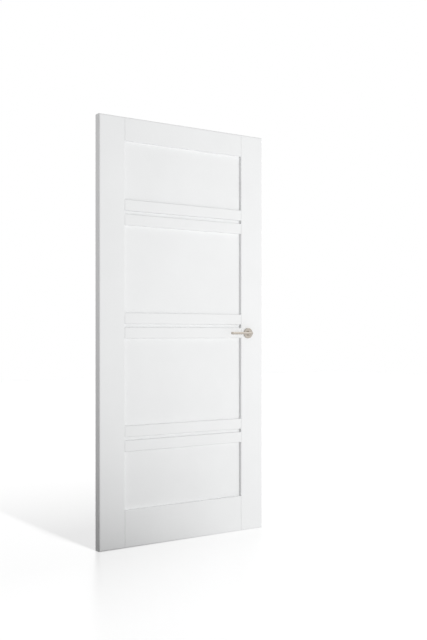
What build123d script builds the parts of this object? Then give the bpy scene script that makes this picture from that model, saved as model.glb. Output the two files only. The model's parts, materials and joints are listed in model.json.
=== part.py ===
"""Interior door leaf: two stiles, two rails, paired slim bars and flat panels, with a lever latch.

X runs from the hinge edge to the lock edge, Y from the front face to the back face, Z up.
The origin is on the hinge edge, in the middle of the thickness, at the foot of the leaf.
"""

import os

from build123d import *

os.makedirs("parts", exist_ok=True)

# Leaf, in millimetres
leaf_width = 930.0
leaf_height = 2015.0
leaf_thickness = 44.0
outer_arris = 6.0
inner_arris = 2.0
shoulder_arris = 2.5

# Framework
stile_width = 132.0
top_rail_height = 110.0
bottom_rail_height = 176.0
bar_height = 51.0
channel_height = 17.0
end_panel_sight = 275.0

# Grooves, tenons and panels
panel_thickness = 15.0
groove_depth = 12.0
groove_side_clearance = 0.15
groove_end_clearance = 2.0
tenon_end_clearance = 0.2

# Place of the lever on the lock stile
handle_height = 1005.0
handle_inset = 41.0

# Latch let into the lock edge
faceplate_length = 170.0
faceplate_width = 20.0
faceplate_thickness = 3.0
case_height = 92.0
case_thickness = 14.0
case_behind_axis = 18.0
case_bore_radius = 9.0
bolt_height = 26.0
bolt_thickness = 11.0
bolt_throw = 12.0
bolt_tail = 30.0
bolt_flat = 3.0
latch_clearance = 0.3

# Lever furniture
rose_radius = 26.0
rose_depth = 8.5
rose_bevel = 1.5
neck_radius = 10.5
neck_length = 17.0
neck_bevel = 1.0
grip_depth = 18.0
grip_height = 13.0
grip_corner = 5.0
lever_length = 127.0
lever_projection = 42.0
elbow_radius = 15.0
lever_tip_bevel = 1.0
bearing_clearance = 0.3
neck_gap = 1.0
spindle_width = 8.0
spindle_engagement = 14.0
spindle_clearance = 0.1
spindle_bore_radius = 10.0

# Sizes that follow from the ones above
opening_width = leaf_width - 2 * stile_width
groove_width = panel_thickness + 2 * groove_side_clearance
tenon_length = groove_depth - tenon_end_clearance
tongue = groove_depth - groove_end_clearance
pair_height = 2 * bar_height + channel_height
panels_height = leaf_height - top_rail_height - bottom_rail_height - 3 * pair_height
middle_panel_sight = panels_height / 2 - end_panel_sight

lower_pair_foot = bottom_rail_height + end_panel_sight
middle_pair_foot = lower_pair_foot + pair_height + middle_panel_sight
upper_pair_foot = middle_pair_foot + pair_height + middle_panel_sight
top_rail_foot = leaf_height - top_rail_height
pair_feet = {"lower": lower_pair_foot, "middle": middle_pair_foot, "upper": upper_pair_foot}

lock_stile_foot = leaf_width - stile_width
handle_x = lock_stile_foot + handle_inset
case_front = leaf_width - faceplate_thickness
case_depth = case_front - handle_x + case_behind_axis


# Stiles: full height, grooved on the inner edge, rounded on the leaf's own edges
with BuildPart() as hinge_stile:
    with BuildSketch(Plane.XY) as hinge_plan:
        Rectangle(stile_width, leaf_thickness, align=(Align.MIN, Align.CENTER))
        fillet(hinge_plan.vertices().group_by(Axis.X)[0], outer_arris)
        fillet(hinge_plan.vertices().group_by(Axis.X)[-1], inner_arris)
        with Locations((stile_width, 0)):
            Rectangle(groove_depth, groove_width, align=(Align.MAX, Align.CENTER), mode=Mode.SUBTRACT)
    extrude(amount=leaf_height)
    with BuildSketch(Plane.YZ) as hinge_side:
        Rectangle(leaf_thickness, leaf_height, align=(Align.CENTER, Align.MIN))
        fillet(hinge_side.vertices(), outer_arris)
    extrude(amount=stile_width, mode=Mode.INTERSECT)
hinge_stile.part.label = "hinge_stile"
export_step(hinge_stile.part, "parts/hinge_stile.step")

with BuildPart() as lock_stile:
    mirror(hinge_stile.part, about=Plane.YZ.offset(leaf_width / 2))
    # Recess for the faceplate, pocket for the latch case, bore for the spindle
    with BuildSketch(Plane.YZ.offset(case_front)):
        with Locations((0, handle_height)):
            SlotOverall(
                faceplate_length + 2 * latch_clearance,
                faceplate_width + 2 * latch_clearance,
                rotation=90,
            )
    extrude(amount=faceplate_thickness, mode=Mode.SUBTRACT)
    with BuildSketch(Plane.YZ.offset(case_front)):
        with Locations((0, handle_height)):
            Rectangle(case_thickness + 2 * latch_clearance, case_height + 2 * latch_clearance)
    extrude(amount=-(case_depth + latch_clearance), mode=Mode.SUBTRACT)
    with BuildSketch(Plane.XZ):
        with Locations((handle_x, handle_height)):
            Circle(spindle_bore_radius)
    extrude(amount=leaf_thickness / 2, both=True, mode=Mode.SUBTRACT)
lock_stile.part.label = "lock_stile"
export_step(lock_stile.part, "parts/lock_stile.step")


# Rails and bars: a section run between the stiles, eased at its shoulders, with stub tenons.
# Each entry is foot, height, and whether the foot and the head have a panel groove.
crosspieces = {
    "bottom_rail": (0.0, bottom_rail_height, False, True),
    "top_rail": (top_rail_foot, top_rail_height, True, False),
}
for pair_name, pair_foot in pair_feet.items():
    crosspieces[f"{pair_name}_pair_bottom_bar"] = (pair_foot, bar_height, True, True)
    crosspieces[f"{pair_name}_pair_top_bar"] = (
        pair_foot + bar_height + channel_height,
        bar_height,
        True,
        True,
    )

for name, (foot, height, grooved_foot, grooved_head) in crosspieces.items():
    tenon_foot = foot + groove_depth * grooved_foot
    tenon_head = foot + height - groove_depth * grooved_head
    with BuildPart() as crosspiece:
        with BuildSketch(Plane.YZ.offset(stile_width)) as section:
            with Locations((0, foot)):
                Rectangle(leaf_thickness, height, align=(Align.CENTER, Align.MIN))
            foot_arris = inner_arris if grooved_foot else outer_arris
            head_arris = inner_arris if grooved_head else outer_arris
            fillet(section.vertices().group_by(Axis.Y)[0], foot_arris)
            fillet(section.vertices().group_by(Axis.Y)[-1], head_arris)
            if grooved_foot:
                with Locations((0, foot)):
                    Rectangle(groove_width, groove_depth, align=(Align.CENTER, Align.MIN), mode=Mode.SUBTRACT)
            if grooved_head:
                with Locations((0, foot + height)):
                    Rectangle(groove_width, groove_depth, align=(Align.CENTER, Align.MAX), mode=Mode.SUBTRACT)
        extrude(amount=opening_width)
        with BuildSketch(Plane.XY.offset(foot)) as shoulders:
            with Locations((leaf_width / 2, 0)):
                Rectangle(opening_width, leaf_thickness)
            fillet(shoulders.vertices(), shoulder_arris)
        extrude(amount=height, mode=Mode.INTERSECT)
        with BuildSketch(Plane.XZ):
            with Locations((leaf_width / 2, (tenon_foot + tenon_head) / 2)):
                Rectangle(opening_width + 2 * tenon_length, tenon_head - tenon_foot)
        extrude(amount=panel_thickness / 2, both=True)
    crosspiece.part.label = name
    export_step(crosspiece.part, f"parts/{name}.step")


# Panels and the strips that floor the channels: flat boards held in the grooves all round
boards = {
    "bottom_panel": (bottom_rail_height, end_panel_sight),
    "lower_middle_panel": (lower_pair_foot + pair_height, middle_panel_sight),
    "upper_middle_panel": (middle_pair_foot + pair_height, middle_panel_sight),
    "top_panel": (upper_pair_foot + pair_height, end_panel_sight),
}
for pair_name, pair_foot in pair_feet.items():
    boards[f"{pair_name}_channel_strip"] = (pair_foot + bar_height, channel_height)

for name, (foot, sight) in boards.items():
    with BuildPart() as board:
        with BuildSketch(Plane.XZ):
            with Locations((leaf_width / 2, foot + sight / 2)):
                Rectangle(opening_width + 2 * tongue, sight + 2 * tongue)
        extrude(amount=panel_thickness / 2, both=True)
    board.part.label = name
    export_step(board.part, f"parts/{name}.step")


# Latch: case in the stile, faceplate flush with the lock edge, bolt bevelled on its front side
with BuildPart() as latch_case:
    with BuildSketch(Plane.YZ.offset(case_front)):
        with Locations((0, handle_height)):
            Rectangle(case_thickness, case_height)
    extrude(amount=-case_depth)
    with BuildSketch(Plane.YZ.offset(case_front)):
        with Locations((0, handle_height)):
            Rectangle(bolt_thickness + 2 * latch_clearance, bolt_height + 2 * latch_clearance)
    extrude(amount=-(bolt_tail + latch_clearance), mode=Mode.SUBTRACT)
    with BuildSketch(Plane.XZ):
        with Locations((handle_x, handle_height)):
            Circle(case_bore_radius)
    extrude(amount=case_thickness / 2, both=True, mode=Mode.SUBTRACT)
latch_case.part.label = "latch_case"
export_step(latch_case.part, "parts/latch_case.step")

with BuildPart() as latch_faceplate:
    with BuildSketch(Plane.YZ.offset(case_front)):
        with Locations((0, handle_height)):
            SlotOverall(faceplate_length, faceplate_width, rotation=90)
            Rectangle(
                bolt_thickness + 2 * latch_clearance,
                bolt_height + 2 * latch_clearance,
                mode=Mode.SUBTRACT,
            )
    extrude(amount=faceplate_thickness)
latch_faceplate.part.label = "latch_faceplate"
export_step(latch_faceplate.part, "parts/latch_faceplate.step")

with BuildPart() as latch_bolt:
    with BuildSketch(Plane.XY.offset(handle_height - bolt_height / 2)):
        with BuildLine():
            Polyline(
                (leaf_width, -bolt_thickness / 2),
                (case_front - bolt_tail, -bolt_thickness / 2),
                (case_front - bolt_tail, bolt_thickness / 2),
                (leaf_width + bolt_throw, bolt_thickness / 2),
                (leaf_width + bolt_throw, bolt_thickness / 2 - bolt_flat),
            )
            RadiusArc(
                (leaf_width + bolt_throw, bolt_thickness / 2 - bolt_flat),
                (leaf_width, -bolt_thickness / 2),
                2 * bolt_throw,
            )
        make_face()
    extrude(amount=bolt_height)
latch_bolt.part.label = "latch_bolt"
export_step(latch_bolt.part, "parts/latch_bolt.step")


# Rose and lever on each face. The drawing plane of a side has X across the leaf and Y out of its face.
for side, facing in (("front", -1), ("back", 1)):
    side_plane = Plane(
        origin=(handle_x, facing * leaf_thickness / 2, handle_height),
        x_dir=(1, 0, 0),
        z_dir=(0, 0, facing),
    )
    face_plane = Plane(origin=side_plane.origin, x_dir=(1, 0, 0), z_dir=side_plane.y_dir)
    outward = Axis(face_plane.origin, face_plane.z_dir)

    with BuildPart() as rose:
        with BuildSketch(face_plane):
            Circle(rose_radius)
            Circle(neck_radius + bearing_clearance, mode=Mode.SUBTRACT)
        extrude(amount=rose_depth)
        chamfer(rose.faces().sort_by(outward)[-1].outer_wire().edges(), rose_bevel)
    rose.part.label = f"{side}_rose"
    export_step(rose.part, f"parts/{side}_rose.step")

    # The grip is a flattened bar bent out of a round neck, which turns in the rose
    with BuildPart() as lever:
        with BuildSketch(face_plane.offset(neck_gap)):
            Circle(neck_radius)
        extrude(amount=neck_length - neck_gap)
        chamfer(lever.edges().sort_by(outward)[-1], neck_bevel)
        with BuildLine(side_plane) as lever_path:
            FilletPolyline(
                (0, neck_gap),
                (0, lever_projection),
                (-lever_length, lever_projection),
                radius=elbow_radius,
            )
        with BuildSketch(face_plane.offset(neck_gap)):
            RectangleRounded(grip_depth, grip_height, grip_corner)
        sweep(path=lever_path.line)
        chamfer(lever.faces().sort_by(Axis.X)[0].edges(), lever_tip_bevel)
        with BuildSketch(face_plane.offset(neck_gap)):
            Rectangle(spindle_width + 2 * spindle_clearance, spindle_width + 2 * spindle_clearance)
        extrude(amount=spindle_engagement + spindle_clearance, mode=Mode.SUBTRACT)
    lever.part.label = f"{side}_lever"
    export_step(lever.part, f"parts/{side}_lever.step")

with BuildPart() as spindle:
    with BuildSketch(Plane.XZ):
        with Locations((handle_x, handle_height)):
            Rectangle(spindle_width, spindle_width)
    extrude(amount=leaf_thickness / 2 + neck_gap + spindle_engagement, both=True)
spindle.part.label = "spindle"
export_step(spindle.part, "parts/spindle.step")
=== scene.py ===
import json
import math

import bmesh
import bpy
import numpy as np
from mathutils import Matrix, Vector


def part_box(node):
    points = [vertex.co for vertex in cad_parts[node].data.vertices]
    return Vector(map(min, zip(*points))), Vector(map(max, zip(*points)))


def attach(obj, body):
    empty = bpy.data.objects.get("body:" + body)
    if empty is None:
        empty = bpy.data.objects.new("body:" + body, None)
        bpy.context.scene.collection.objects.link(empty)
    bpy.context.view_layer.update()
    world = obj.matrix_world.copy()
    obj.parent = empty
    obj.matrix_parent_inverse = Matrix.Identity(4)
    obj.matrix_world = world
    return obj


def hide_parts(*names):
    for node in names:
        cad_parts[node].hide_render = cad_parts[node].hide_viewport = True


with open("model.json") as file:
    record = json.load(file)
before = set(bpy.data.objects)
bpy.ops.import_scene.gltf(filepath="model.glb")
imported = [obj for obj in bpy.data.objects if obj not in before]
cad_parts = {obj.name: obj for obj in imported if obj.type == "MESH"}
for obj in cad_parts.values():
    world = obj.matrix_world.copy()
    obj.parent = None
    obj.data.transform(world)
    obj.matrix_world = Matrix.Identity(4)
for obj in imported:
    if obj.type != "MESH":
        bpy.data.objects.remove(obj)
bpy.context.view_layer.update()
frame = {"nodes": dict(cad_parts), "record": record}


# Stiles: the full-height uprights at the hinge edge and the lock edge of the leaf.
# Laminated timber with rounded outer edges and a groove for the panels, sprayed with white satin
# lacquer once the leaf is glued up.
white_low, white_high = (0.842, 0.848, 0.850, 1), (0.862, 0.868, 0.870, 1)
satin_low, satin_high = 0.34, 0.46
tints_per_metre, patches_per_metre, mist_per_metre = 5.0, 45.0, 340.0
grain_height, mist_height = 0.00003, 0.00004


def lacquer_finish(name, along_grain):
    """White satin lacquer over one cut of board.

    Sprayed skin: noise of about 3 mm, as bump. Board below: noise drawn out along the grain, as a
    fainter bump. along_grain is how often the grain repeats in a metre along X, Y and Z. White and
    gloss drift slowly.
    """
    material = bpy.data.materials.new(name)
    material.use_nodes = True
    nodes = material.node_tree.nodes
    link = material.node_tree.links.new
    shader = nodes["Principled BSDF"]
    place = nodes.new("ShaderNodeTexCoord").outputs["Object"]

    drift = nodes.new("ShaderNodeTexNoise")
    drift.inputs["Scale"].default_value = tints_per_metre
    drift.inputs["Detail"].default_value = 3.0
    link(place, drift.inputs["Vector"])
    white = nodes.new("ShaderNodeValToRGB")
    white.color_ramp.elements[0].position = 0.3
    white.color_ramp.elements[0].color = white_low
    white.color_ramp.elements[1].position = 0.7
    white.color_ramp.elements[1].color = white_high
    link(drift.outputs["Fac"], white.inputs["Fac"])
    link(white.outputs["Color"], shader.inputs["Base Color"])

    gloss = nodes.new("ShaderNodeMapRange")
    gloss.inputs["To Min"].default_value = satin_low
    gloss.inputs["To Max"].default_value = satin_high
    patches = nodes.new("ShaderNodeTexNoise")
    patches.inputs["Scale"].default_value = patches_per_metre
    patches.inputs["Detail"].default_value = 4.0
    link(place, patches.inputs["Vector"])
    link(patches.outputs["Fac"], gloss.inputs["Value"])
    link(gloss.outputs["Result"], shader.inputs["Roughness"])

    stretch = nodes.new("ShaderNodeMapping")
    stretch.inputs["Scale"].default_value = along_grain
    link(place, stretch.inputs["Vector"])
    grain = nodes.new("ShaderNodeTexNoise")
    grain.inputs["Scale"].default_value = 1.0
    grain.inputs["Detail"].default_value = 3.0
    link(stretch.outputs["Vector"], grain.inputs["Vector"])
    board = nodes.new("ShaderNodeBump")
    board.inputs["Strength"].default_value = 0.5
    board.inputs["Distance"].default_value = grain_height
    link(grain.outputs["Fac"], board.inputs["Height"])

    mist = nodes.new("ShaderNodeTexNoise")
    mist.inputs["Scale"].default_value = mist_per_metre
    mist.inputs["Detail"].default_value = 2.0
    link(place, mist.inputs["Vector"])
    skin = nodes.new("ShaderNodeBump")
    skin.inputs["Strength"].default_value = 0.6
    skin.inputs["Distance"].default_value = mist_height
    link(mist.outputs["Fac"], skin.inputs["Height"])
    link(board.outputs["Normal"], skin.inputs["Normal"])
    link(skin.outputs["Normal"], shader.inputs["Normal"])
    return material


def dress(names, material):
    """Gives each named node of the frame the material, in its own slot."""
    for name in names:
        frame["nodes"][name].data.materials[0] = material


stiles = ("hinge_stile", "lock_stile")
dress(stiles, lacquer_finish("stile_lacquer", (260, 260, 9)))


# Rails and bars: the top and bottom rail and the three pairs of slim bars between the stiles.
# The same laminated timber with its grain lying across the leaf, stub-tenoned into the stiles and
# sprayed with them, so that a fine line stays at each shoulder.
pairs = ("upper", "middle", "lower")
bars = [f"{pair}_pair_{place}_bar" for pair in pairs for place in ("top", "bottom")]
dress(["top_rail", "bottom_rail", *bars], lacquer_finish("rail_lacquer", (9, 260, 260)))


# Panels and channel strips: flat boards held in the grooves, set back from both faces of the leaf.
# Fine fibreboard without grain, sprayed with the framework. The lacquer gathers in a small round
# bead along each edge where a board enters its groove.
panels = ("top_panel", "upper_middle_panel", "lower_middle_panel", "bottom_panel")
boards = [*panels, *(f"{pair}_channel_strip" for pair in pairs)]
board_lacquer = lacquer_finish("board_lacquer", (120, 120, 120))
dress(boards, board_lacquer)


def surface(name, points, material, wrap_rows=False, wrap_columns=False, crease=math.radians(40)):
    """Mesh of a grid of points, an array of rows, columns and three coordinates.

    Each four neighbours make one face, and a wrapped grid joins its last row or column to its
    first. The UV map holds the distance in metres along the columns and the rows. Points that
    coincide are merged, which closes the poles, faces are turned outwards, and edges sharper than
    the crease angle stay sharp.
    """
    rows, columns = points.shape[:2]
    index = np.arange(rows * columns).reshape(rows, columns)
    grid = points
    if wrap_rows:
        index = np.concatenate((index, index[:1]))
        grid = np.concatenate((grid, grid[:1]))
    if wrap_columns:
        index = np.concatenate((index, index[:, :1]), axis=1)
        grid = np.concatenate((grid, grid[:, :1]), axis=1)

    def corners(array):
        """The four corner values of every face, one face to a row."""
        return np.stack((array[:-1, :-1], array[:-1, 1:], array[1:, 1:], array[1:, :-1]), axis=2)

    down = np.linalg.norm(np.diff(grid, axis=0), axis=2).max(axis=1)
    across = np.linalg.norm(np.diff(grid, axis=1), axis=2).max(axis=0)
    down = np.concatenate(([0], np.cumsum(down)))
    across = np.concatenate(([0], np.cumsum(across)))
    chart = np.stack(np.meshgrid(across, down), axis=2)

    mesh = bpy.data.meshes.new(name)
    mesh.from_pydata(points.reshape(-1, 3), [], corners(index).reshape(-1, 4).tolist())
    mesh.uv_layers.new(name="surface").data.foreach_set("uv", corners(chart).ravel())
    shell = bmesh.new()
    shell.from_mesh(mesh)
    bmesh.ops.remove_doubles(shell, verts=shell.verts, dist=1e-7)
    bmesh.ops.recalc_face_normals(shell, faces=shell.faces)
    shell.to_mesh(mesh)
    shell.free()
    mesh.shade_smooth()
    mesh.set_sharp_from_angle(angle=crease)
    mesh.materials.append(material)
    piece = bpy.data.objects.new(name, mesh)
    bpy.context.scene.collection.objects.link(piece)
    return piece


def sight_frame(board, profile, facing):
    """A profile carried round the four edges of a board's visible face, mitred at the corners.

    The profile's two columns are how far a point lies in from the edge and how far out from the
    board.
    """
    low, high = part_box(board)
    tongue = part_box("hinge_stile")[1][0] - low[0]
    inward, outward = profile.T
    ends = np.array([[0, 0], [1, 0], [1, 1], [0, 1]])[:, :, None]
    flat_low = np.array([low[0], low[2]])[None, :, None] + tongue
    flat_high = np.array([high[0], high[2]])[None, :, None] - tongue
    x, z = np.moveaxis(np.where(ends == 0, flat_low + inward, flat_high - inward), 1, 0)
    y = np.broadcast_to(facing * (high[1] - low[1]) / 2 + facing * outward, x.shape)
    return np.stack((x, y, z), axis=2)


bead_radius = 0.0015
bead_root = 0.0002
bead_steps = 6
turn = np.linspace(0, math.pi / 2, bead_steps)
bead_profile = np.concatenate(
    (
        [[-bead_root, -bead_root], [bead_radius, -bead_root]],
        bead_radius * np.stack((1 - np.sin(turn), 1 - np.cos(turn)), axis=1),
        [[-bead_root, bead_radius]],
    )
)
for board in boards:
    for side, facing in (("front", -1), ("back", 1)):
        bead = surface(
            f"{board}_{side}_bead",
            sight_frame(board, bead_profile, facing),
            board_lacquer,
            wrap_rows=True,
            wrap_columns=True,
        )
        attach(bead, "leaf")


# Latch: the case let into the lock stile, its faceplate flush in the lock edge, and the bolt.
# Folded and zinc-plated steel inside, a brushed plate and a sintered bolt outside, held by two
# raised screws with a cross recess.
steel_tone = (0.62, 0.61, 0.59)
zinc_tone = (0.60, 0.60, 0.57)
mark_dull, mark_bright = 0.9, 1.06
mark_gloss = 0.07
mark_height = 0.00001


def brushed_metal(name, colour, rough, brushed, chart=None):
    """Metal brushed one way: noise drawn out along the stroke drives gloss, tone and a fine bump.

    brushed is how often the marks repeat in a metre along each coordinate. The coordinates are the
    object's own, or a UV map where chart names one.
    """
    material = bpy.data.materials.new(name)
    material.use_nodes = True
    nodes = material.node_tree.nodes
    link = material.node_tree.links.new
    shader = nodes["Principled BSDF"]
    shader.inputs["Metallic"].default_value = 1.0
    if chart:
        source = nodes.new("ShaderNodeUVMap")
        source.uv_map = chart
        place = source.outputs["UV"]
    else:
        place = nodes.new("ShaderNodeTexCoord").outputs["Object"]
    stretch = nodes.new("ShaderNodeMapping")
    stretch.inputs["Scale"].default_value = brushed
    link(place, stretch.inputs["Vector"])
    marks = nodes.new("ShaderNodeTexNoise")
    marks.inputs["Scale"].default_value = 1.0
    marks.inputs["Detail"].default_value = 4.0
    link(stretch.outputs["Vector"], marks.inputs["Vector"])

    tone = nodes.new("ShaderNodeValToRGB")
    tone.color_ramp.elements[0].position = 0.25
    tone.color_ramp.elements[0].color = (*(mark_dull * part for part in colour), 1)
    tone.color_ramp.elements[1].position = 0.75
    tone.color_ramp.elements[1].color = (*(mark_bright * part for part in colour), 1)
    link(marks.outputs["Fac"], tone.inputs["Fac"])
    link(tone.outputs["Color"], shader.inputs["Base Color"])
    gloss = nodes.new("ShaderNodeMapRange")
    gloss.inputs["To Min"].default_value = rough - mark_gloss
    gloss.inputs["To Max"].default_value = rough + mark_gloss
    link(marks.outputs["Fac"], gloss.inputs["Value"])
    link(gloss.outputs["Result"], shader.inputs["Roughness"])
    scratch = nodes.new("ShaderNodeBump")
    scratch.inputs["Strength"].default_value = 0.5
    scratch.inputs["Distance"].default_value = mark_height
    link(marks.outputs["Fac"], scratch.inputs["Height"])
    link(scratch.outputs["Normal"], shader.inputs["Normal"])
    return material


plate_steel = brushed_metal("plate_steel_brushed", steel_tone, 0.34, (2500, 2500, 60))
dress(["latch_faceplate", "latch_bolt"], plate_steel)
dress(["latch_case"], brushed_metal("case_zinc", zinc_tone, 0.45, (300, 300, 300)))

screw_radius = 0.0038
screw_rise = 0.0011
screw_root = 0.0004
screw_inset = 0.011
recess_reach = 0.0021
recess_half_width = 0.0005
recess_depth = 0.0009
recess_edge = 0.0002
head_rings, head_spokes = 30, 96


def screw_head(centre):
    """A domed screw head facing along X, as height over polar rows and columns.

    The height is a shallow paraboloid of the radius, less the cross recess: two crossed bars with
    soft edges.
    """
    reach = np.linspace(0, 1, head_rings)[:, None]
    around = np.linspace(0, 2 * math.pi, head_spokes, endpoint=False)[None, :]
    across = screw_radius * reach * np.cos(around)
    up = screw_radius * reach * np.sin(around)

    def inside(limit, value):
        """1 inside the limit and 0 outside it, with a short even slope between."""
        return np.clip((limit - np.abs(value)) / recess_edge, 0, 1)

    bar = inside(recess_reach, across) * inside(recess_half_width, up)
    crossbar = inside(recess_reach, up) * inside(recess_half_width, across)
    height = screw_rise * (1 - reach**2) - recess_depth * np.maximum(bar, crossbar)
    cap = np.stack((centre[0] + height, centre[1] + across, centre[2] + up), axis=2)
    rim = cap[-1:] - [screw_root, 0, 0]
    foot = np.broadcast_to(np.array(centre) - [screw_root, 0, 0], rim.shape)
    return np.concatenate((cap, rim, foot))


plate_low, plate_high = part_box("latch_faceplate")
for end, height in (("upper", plate_high[2] - screw_inset), ("lower", plate_low[2] + screw_inset)):
    screw = surface(
        f"faceplate_{end}_screw",
        screw_head((plate_high[0], 0.0, height)),
        plate_steel,
        wrap_columns=True,
    )
    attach(screw, "leaf")


# Roses: the round cover plates that the levers turn in, one on each face of the leaf.
# Pressed and turned shells in satin nickel, clipped over hidden fixings, with a rounded rim and a
# fine shadow line where they sit on the lacquer.
nickel_tone = (0.52, 0.477, 0.425)
axis_x, _, axis_z = frame["record"]["behaviour"]["joints"][0]["pos_m"]
leaf_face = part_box("hinge_stile")[1][1]

rose_low, rose_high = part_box("back_rose")
rose_radius = (rose_high[0] - rose_low[0]) / 2
rose_depth = rose_high[1] - leaf_face
rose_rim = 0.0018
rose_lip = 0.0004
rose_gap = 0.0005
rose_bore = 0.0108
rose_turn_steps, rose_spokes = 8, 128


def rose_profile():
    """Radius and height round the section: bore, eased lip, face, rounded rim, wall, undercut foot.

    The lip and the rim are quarter circles, and straight lines join the rest.
    """
    turn = np.linspace(0, math.pi / 2, rose_turn_steps)
    fall, rise = 1 - np.cos(turn), 1 - np.sin(turn)
    lip = np.stack((rose_bore + rose_lip * fall, rose_depth - rose_lip * rise), axis=1)
    rim = np.stack((rose_radius - rose_rim * rise, rose_depth - rose_rim * fall), axis=1)
    undercut = rose_radius - rose_gap
    foot = [[rose_radius, rose_gap], [undercut, rose_gap], [undercut, 0], [rose_bore, 0]]
    return np.concatenate((lip, rim, foot))


def turned(profile, facing):
    """A profile of radius and height turned in a circle round the lever's axis, on one face."""
    around = np.linspace(0, 2 * math.pi, rose_spokes, endpoint=False)
    radius, height = profile.T[:, :, None]
    x = axis_x + radius * np.cos(around)
    z = axis_z + radius * np.sin(around)
    y = np.broadcast_to(facing * (leaf_face + height), x.shape)
    return np.stack((x, y, z), axis=2)


turned_nickel = brushed_metal(
    "rose_nickel_turned", nickel_tone, 0.24, (40, 4500, 1), chart="surface"
)
for side, facing in (("front", -1), ("back", 1)):
    rose = surface(
        f"{side}_rose_shell",
        turned(rose_profile(), facing),
        turned_nickel,
        wrap_rows=True,
        wrap_columns=True,
    )
    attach(rose, "leaf")
    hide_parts(f"{side}_rose")


# Levers: a flattened bar bent out of a round neck, one on each face.
# Cast and brushed along their length in satin nickel, and pinned to the square spindle, on which
# they turn together.
lever_low, lever_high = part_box("back_lever")
neck_radius = (lever_high[2] - lever_low[2]) / 2
neck_start = lever_low[1] - leaf_face
neck_length = 0.016
neck_blend = 0.010
grip_half_depth = 0.009
grip_half_height = 0.0065
grip_corner = 0.005
elbow_radius = 0.015
tip_round = 0.0022
neck_plain = 0.004
neck_steps, elbow_steps, grip_steps, tip_steps = 16, 24, 14, 9
lever_spokes = 56
lever_reach = axis_x - lever_low[0]
lever_rise = lever_high[1] - leaf_face - grip_half_depth


def lever_shape(facing):
    """A section carried along the neck, a quarter bend and the grip.

    The section is a rectangle with round corners, given as the corner of an inner rectangle plus a
    turning radius. It starts as the round neck, eases into the flattened bar, and draws in along a
    quarter circle at the tip.
    """
    bend_start = lever_rise - elbow_radius - neck_start
    bend_length = elbow_radius * math.pi / 2
    whole = bend_start + bend_length + lever_reach - elbow_radius
    turn = np.linspace(0, math.pi / 2, tip_steps)
    tip = whole - tip_round * (1 - np.sin(turn))
    station = np.concatenate(
        (
            [0, 0],
            np.linspace(neck_plain, bend_start, neck_steps, endpoint=False),
            np.linspace(bend_start, bend_start + bend_length, elbow_steps, endpoint=False),
            np.linspace(bend_start + bend_length, whole - tip_round, grip_steps, endpoint=False),
            tip,
            [whole],
        )
    )[:, None]
    straight = np.zeros(len(station) - len(tip) - 1)
    draw_in = np.concatenate((straight, tip_round * (1 - np.cos(turn)), [0]))[:, None]
    full = np.ones_like(station)
    full[[0, -1]] = 0

    ease = np.clip((station - neck_length + neck_start) / neck_blend, 0, 1)
    ease = ease**2 * (3 - 2 * ease)
    corner = np.maximum(neck_radius + (grip_corner - neck_radius) * ease - draw_in, tip_round / 2)
    half_depth = neck_radius + (grip_half_depth - neck_radius) * ease - draw_in
    half_height = neck_radius + (grip_half_height - neck_radius) * ease - draw_in
    around = (np.arange(lever_spokes) + 0.5)[None, :] * 2 * math.pi / lever_spokes
    aside = full * ((half_depth - corner) * np.sign(np.cos(around)) + corner * np.cos(around))
    up = full * ((half_height - corner) * np.sign(np.sin(around)) + corner * np.sin(around))

    bend = np.clip((station - bend_start) / elbow_radius, 0, math.pi / 2)
    along_neck = np.minimum(station, bend_start)
    along_grip = np.maximum(station - bend_start - bend_length, 0)
    centre_x = -elbow_radius * (1 - np.cos(bend)) - along_grip
    centre_out = neck_start + along_neck + elbow_radius * np.sin(bend)
    x = axis_x + centre_x + aside * np.cos(bend)
    y = facing * (leaf_face + centre_out + aside * np.sin(bend))
    return np.stack((x, y, axis_z + up), axis=2)


brushed_nickel = brushed_metal(
    "lever_nickel_brushed", nickel_tone, 0.22, (2600, 70, 1), chart="surface"
)
for side, facing in (("front", -1), ("back", 1)):
    lever = surface(f"{side}_lever_bar", lever_shape(facing), brushed_nickel, wrap_columns=True)
    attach(lever, "lever_set")
    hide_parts(f"{side}_lever")


# Spindle: the square bar through the leaf that joins the two levers.
# Drawn and zinc-plated steel, out of sight inside the necks.
dress(["spindle"], brushed_metal("spindle_zinc", zinc_tone, 0.40, (1800, 60, 1800)))


# Studio: a pale floor that keeps the leaf's shadow, in a room that camera and mirrors see white.
# Each face is lit by a soft lamp at the lock edge, by the dim room, and by a painted glow from the
# floor for all but direct rays, with a painted shade dimming it where the shadow lies. A lamp
# higher up gives the handle its sheen, and lights nothing else. A long lamp far up lights the floor
# alone and casts the leaf's shadow.
def seen_directly(nodes, link):
    """1 for the rays of the camera, of reflections and of clear glass, and 0 for the rest."""
    rays = nodes.new("ShaderNodeLightPath")
    level = rays.outputs["Is Camera Ray"]
    for kind in ("Is Glossy Ray", "Is Transmission Ray"):
        either = nodes.new("ShaderNodeMath")
        either.operation = "MAXIMUM"
        link(level, either.inputs[0])
        link(rays.outputs[kind], either.inputs[1])
        level = either.outputs["Value"]
    return level


def between(nodes, link, factor, low, high):
    """A value that goes from low to high as the factor goes from 0 to 1."""
    step = nodes.new("ShaderNodeMapRange")
    step.inputs["To Min"].default_value = low
    step.inputs["To Max"].default_value = high
    link(factor, step.inputs["Value"])
    return step.outputs["Result"]


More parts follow.
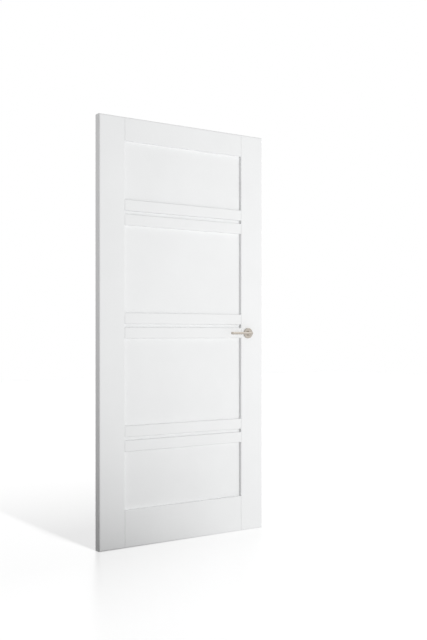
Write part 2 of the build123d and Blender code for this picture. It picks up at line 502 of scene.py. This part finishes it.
floor_half = 14.0
floor_lift = 0.467
front_lift = 0.54
floor_pale = 0.2
# The floor's painted glow for all but direct rays, and the painted shade that dims it round
# shade_place.
painted_floor_glow = 0.744
shade_place = (-0.6, 0.3, 0.0)
shade_inner, shade_outer = 0.6, 1.6
lift_start, lift_end = -0.15, -1.0
floor_rough, floor_index, floor_shine = 0.3, 1.8, 0.5
floor_mesh = bpy.data.meshes.new("floor")
floor_mesh.from_pydata(
    [
        (-floor_half, -floor_half, 0),
        (floor_half, -floor_half, 0),
        (floor_half, floor_half, 0),
        (-floor_half, floor_half, 0),
    ],
    [],
    [(0, 1, 2, 3)],
)
floor = bpy.data.objects.new("floor", floor_mesh)
bpy.context.scene.collection.objects.link(floor)
floor_paint = bpy.data.materials.new("floor_paint")
floor_paint.use_nodes = True
nodes = floor_paint.node_tree.nodes
link = floor_paint.node_tree.links.new
shader = nodes["Principled BSDF"]
direct = seen_directly(nodes, link)
place = nodes.new("ShaderNodeTexCoord").outputs["Object"]
away = nodes.new("ShaderNodeVectorMath")
away.operation = "DISTANCE"
away.inputs[1].default_value = shade_place
link(place, away.inputs[0])
# Painted glow: emission for all but direct rays, with a painted shade that dims it near
# shade_place.
glow = nodes.new("ShaderNodeMapRange")
glow.interpolation_type = "SMOOTHSTEP"
glow.inputs["From Min"].default_value = shade_inner
glow.inputs["From Max"].default_value = shade_outer
glow.inputs["To Max"].default_value = painted_floor_glow
link(away.outputs["Value"], glow.inputs["Value"])
axes = nodes.new("ShaderNodeSeparateXYZ")
link(place, axes.inputs["Vector"])
clear = nodes.new("ShaderNodeMapRange")
clear.inputs["From Min"].default_value = lift_start
clear.inputs["From Max"].default_value = lift_end
clear.inputs["To Min"].default_value = floor_lift
clear.inputs["To Max"].default_value = front_lift
link(axes.outputs["Y"], clear.inputs["Value"])
lift = nodes.new("ShaderNodeMix")
link(direct, lift.inputs["Factor"])
link(glow.outputs["Result"], lift.inputs["A"])
link(clear.outputs["Result"], lift.inputs["B"])
link(between(nodes, link, direct, 0, floor_pale), shader.inputs["Base Color"])
shader.inputs["Roughness"].default_value = floor_rough
shader.inputs["IOR"].default_value = floor_index
link(between(nodes, link, direct, 0, floor_shine), shader.inputs["Specular IOR Level"])
shader.inputs["Emission Color"].default_value = (1, 1, 1, 1)
link(lift.outputs["Result"], shader.inputs["Emission Strength"])
floor_mesh.materials.append(floor_paint)

room_light = 0.421
room = bpy.data.worlds.new("room")
bpy.context.scene.world = room
room.use_nodes = True
nodes = room.node_tree.nodes
link = room.node_tree.links.new
backdrop = nodes["Background"]
backdrop.inputs["Color"].default_value = (1, 1, 1, 1)
link(between(nodes, link, seen_directly(nodes, link), room_light, 1), backdrop.inputs["Strength"])


def hang(lamp, place, aim):
    """Puts a lamp in the scene at a place, turned to face a point."""
    thing = bpy.data.objects.new(lamp.name, lamp)
    bpy.context.scene.collection.objects.link(thing)
    thing.location = place
    thing.rotation_euler = (Vector(aim) - Vector(place)).to_track_quat("-Z", "Y").to_euler()
    return thing


def light_some(thing, others, state):
    """Includes some objects alone in a lamp's light, or excludes them from it."""
    some = bpy.data.collections.new(f"{thing.name}_receivers")
    for other in others:
        some.objects.link(other)
    for entry in some.collection_objects:
        entry.light_linking.link_state = state
    thing.light_linking.receiver_collection = some


lamp_across, lamp_out, lamp_up = 1.75, 3.5, 1.1
lamp_aim = (0.6, 0, 1.9)
lamp_spread = math.radians(160)
sheen_across, sheen_out, sheen_up = 2.0, 0.95, 2.35
handle_across, handle_out, handle_up = 0.80, 0.05, 1.005
for side, facing in (("front", -1), ("back", 1)):
    key = bpy.data.lights.new(f"{side}_lamp", "SPOT")
    key.shadow_soft_size = 1.0
    key.spot_size = lamp_spread
    key.spot_blend = 1.0
    key.energy = 287
    key_stand = hang(key, (lamp_across, facing * lamp_out, lamp_up), lamp_aim)
    key_stand.visible_glossy = False
    light_some(key_stand, [floor], "EXCLUDE")
    rose = bpy.data.objects[f"{side}_rose_shell"]
    lever = bpy.data.objects[f"{side}_lever_bar"]
    passed = bpy.data.collections.new(f"{side}_lamp_passed")
    passed.objects.link(lever)
    passed.collection_objects[0].light_linking.link_state = "EXCLUDE"
    key_stand.light_linking.blocker_collection = passed
    sheen = bpy.data.lights.new(f"{side}_handle_lamp", "AREA")
    sheen.shape = "DISK"
    sheen.size = 1.6
    sheen.energy = 5
    sheen_place = (sheen_across, facing * sheen_out, sheen_up)
    sheen_aim = (handle_across, facing * handle_out, handle_up)
    sheen_stand = hang(sheen, sheen_place, sheen_aim)
    light_some(sheen_stand, [rose, lever], "INCLUDE")

strip = bpy.data.lights.new("floor_lamp", "AREA")
strip.shape = "RECTANGLE"
strip.size = 0.1
strip.size_y = 28.0
strip.energy = 26300
strip_place, strip_aim = (1.26, -20, 34), (1.26, -20, 0)
light_some(hang(strip, strip_place, strip_aim), [floor], "INCLUDE")


# Camera: at the photograph's place, level, about four metres from the hinge edge.
# Its frame is moved up a little, because the photograph's horizon lies below the middle.
camera_turn = math.radians(33.59)
frame_height = 640
horizon_below_middle = 13.6
camera = bpy.data.cameras.new("camera")
camera.sensor_width = 36.0
camera.lens = 48.81
camera.shift_y = horizon_below_middle / frame_height
view = bpy.data.objects.new("camera", camera)
bpy.context.scene.collection.objects.link(view)
view.location = (-1.7650, -3.6262, 1.0028)
view.rotation_euler = (math.pi / 2, 0, -camera_turn)
bpy.context.scene.camera = view
bpy.context.scene.view_settings.view_transform = "Standard"
